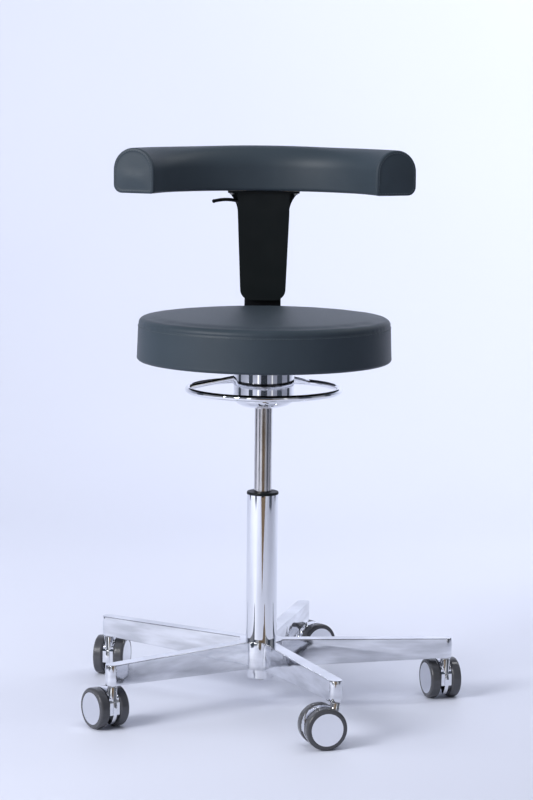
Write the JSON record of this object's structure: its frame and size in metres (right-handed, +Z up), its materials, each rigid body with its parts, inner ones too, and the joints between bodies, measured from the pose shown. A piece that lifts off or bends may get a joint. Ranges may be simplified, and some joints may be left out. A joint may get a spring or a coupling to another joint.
{
  "type": "dentist stool",
  "caption": "Height-adjustable round stool with a curved back support, gas lift, ring release, star base and twin-wheel casters.",
  "frame": {"origin": "on the column axis, at the floor", "axes": "+Z up, -Y the front that the sitter faces, +X to the right seen from the front"},
  "size_m": [0.6114, 0.6585, 0.8909],
  "materials": {
    "polished_aluminium": "polished",
    "chrome": "mirror bright",
    "cylinder_steel": "ground",
    "plain_steel": "zinc plated",
    "black_plastic": "fine grained satin",
    "black_steel": "satin powder coat",
    "rubber": "matte",
    "leatherette": "satin, fine grain",
    "plywood": "bare",
    "grey_tyre": "satin"
  },
  "bodies": {
    "base": {"base_star": "polished_aluminium", "column_tube": "chrome", "guide_bush": "black_plastic", "thrust_bearing": "plain_steel", "caster_stems": "plain_steel"},
    "piston": {"piston_rod": "cylinder_steel", "rod_clip": "plain_steel", "buffer": "rubber"},
    "seat": {"gas_cylinder": "cylinder_steel", "taper_hub": "black_steel", "housing_cup": "chrome", "mechanism_plate": "black_steel", "pivot_pin": "plain_steel", "seat_board": "plywood", "seat_cushion": "leatherette", "mount_bolts": "plain_steel", "back_bar": "black_steel"},
    "release": {"release_ring": "chrome", "ring_spokes": "chrome", "release_yoke": "plain_steel"},
    "valve": {"valve_button": "plain_steel"},
    "back": {"front_cover": "black_plastic", "rear_cover": "black_plastic", "slide_guide": "black_plastic", "lever_pin": "plain_steel", "back_board": "plywood", "back_cushion": "leatherette", "back_screws": "plain_steel"},
    "lever": {"height_lever": "black_steel", "clamp_shoe": "plain_steel"},
    "caster_1": {"fork_1": "chrome", "axle_1": "plain_steel"},
    "roller_1_left": {"wheel_1_left": "grey_tyre", "cap_1_left": "chrome"},
    "roller_1_right": {"wheel_1_right": "grey_tyre", "cap_1_right": "chrome"},
    "caster_2": {"fork_2": "chrome", "axle_2": "plain_steel"},
    "roller_2_left": {"wheel_2_left": "grey_tyre", "cap_2_left": "chrome"},
    "roller_2_right": {"wheel_2_right": "grey_tyre", "cap_2_right": "chrome"},
    "caster_3": {"fork_3": "chrome", "axle_3": "plain_steel"},
    "roller_3_left": {"wheel_3_left": "grey_tyre", "cap_3_left": "chrome"},
    "roller_3_right": {"wheel_3_right": "grey_tyre", "cap_3_right": "chrome"},
    "caster_4": {"fork_4": "chrome", "axle_4": "plain_steel"},
    "roller_4_left": {"wheel_4_left": "grey_tyre", "cap_4_left": "chrome"},
    "roller_4_right": {"wheel_4_right": "grey_tyre", "cap_4_right": "chrome"},
    "caster_5": {"fork_5": "chrome", "axle_5": "plain_steel"},
    "roller_5_left": {"wheel_5_left": "grey_tyre", "cap_5_left": "chrome"},
    "roller_5_right": {"wheel_5_right": "grey_tyre", "cap_5_right": "chrome"}
  },
  "joints": [
    {"name": "seat_swivel", "type": "hinge", "parent": "base", "child": "piston", "pos_m": [0, 0, 0.2], "axis": [0, 0, 1], "continuous": true},
    {"name": "seat_lift", "type": "slide", "parent": "piston", "child": "seat", "axis": [0, 0, 1], "range_m": [-0.13, 0.06]},
    {"name": "ring_tilt", "type": "hinge", "parent": "seat", "child": "release", "pos_m": [-0.01124, 0.02782, 0.535], "axis": [0.9272, 0.3746, 0], "range_deg": [0, 5], "stiffness_Nm_per_rad": 10, "springref_deg": -8.59},
    {"name": "valve_press", "type": "slide", "parent": "seat", "child": "valve", "axis": [0, 0, 1], "range_m": [-0.0027, 0]},
    {"name": "back_height", "type": "slide", "parent": "seat", "child": "back", "axis": [0, 0, 1], "range_m": [-0.01, 0.05]},
    {"name": "lever_lift", "type": "hinge", "parent": "back", "child": "lever", "pos_m": [-0.0356, 0.232, 0.78], "axis": [0, 1, 0], "range_deg": [0, 5], "stiffness_Nm_per_rad": 1, "springref_deg": -8.59},
    {"name": "caster_1_swivel", "type": "hinge", "parent": "base", "child": "caster_1", "pos_m": [0.30103, 0.01683, 0.055], "axis": [0, 0, 1], "continuous": true},
    {"name": "wheel_1_left_spin", "type": "hinge", "parent": "caster_1", "child": "roller_1_left", "pos_m": [0.29538, 0.03602, 0.0325], "axis": [-0.9593, -0.2823, 0], "continuous": true},
    {"name": "wheel_1_right_spin", "type": "hinge", "parent": "caster_1", "child": "roller_1_right", "pos_m": [0.29538, 0.03602, 0.0325], "axis": [-0.9593, -0.2823, 0], "continuous": true},
    {"name": "caster_2_swivel", "type": "hinge", "parent": "base", "child": "caster_2", "pos_m": [0.07702, 0.2915, 0.055], "axis": [0, 0, 1], "continuous": true},
    {"name": "wheel_2_left_spin", "type": "hinge", "parent": "caster_2", "child": "roller_2_left", "pos_m": [0.09416, 0.3018, 0.0325], "axis": [-0.515, 0.8572, 0], "continuous": true},
    {"name": "wheel_2_right_spin", "type": "hinge", "parent": "caster_2", "child": "roller_2_right", "pos_m": [0.09416, 0.3018, 0.0325], "axis": [-0.515, 0.8572, 0], "continuous": true},
    {"name": "caster_3_swivel", "type": "hinge", "parent": "base", "child": "caster_3", "pos_m": [-0.25343, 0.16332, 0.055], "axis": [0, 0, 1], "continuous": true},
    {"name": "wheel_3_left_spin", "type": "hinge", "parent": "caster_3", "child": "roller_3_left", "pos_m": [-0.24893, 0.18281, 0.0325], "axis": [-0.9744, 0.225, 0], "continuous": true},
    {"name": "wheel_3_right_spin", "type": "hinge", "parent": "caster_3", "child": "roller_3_right", "pos_m": [-0.24893, 0.18281, 0.0325], "axis": [-0.9744, 0.225, 0], "continuous": true},
    {"name": "caster_4_swivel", "type": "hinge", "parent": "base", "child": "caster_4", "pos_m": [-0.23365, -0.19056, 0.055], "axis": [0, 0, 1], "continuous": true},
    {"name": "wheel_4_left_spin", "type": "hinge", "parent": "caster_4", "child": "roller_4_left", "pos_m": [-0.245, -0.17409, 0.0325], "axis": [-0.8231, -0.5678, 0], "continuous": true},
    {"name": "wheel_4_right_spin", "type": "hinge", "parent": "caster_4", "child": "roller_4_right", "pos_m": [-0.245, -0.17409, 0.0325], "axis": [-0.8231, -0.5678, 0], "continuous": true},
    {"name": "caster_5_swivel", "type": "hinge", "parent": "base", "child": "caster_5", "pos_m": [0.10903, -0.2811, 0.055], "axis": [0, 0, 1], "continuous": true},
    {"name": "wheel_5_left_spin", "type": "hinge", "parent": "caster_5", "child": "roller_5_left", "pos_m": [0.08979, -0.28658, 0.0325], "axis": [0.274, -0.9617, 0], "continuous": true},
    {"name": "wheel_5_right_spin", "type": "hinge", "parent": "caster_5", "child": "roller_5_right", "pos_m": [0.08979, -0.28658, 0.0325], "axis": [0.274, -0.9617, 0], "continuous": true}
  ],
  "couplings": [
    {"joint": "valve_press", "follows": "ring_tilt", "m_per_rad": -0.03}
  ]
}
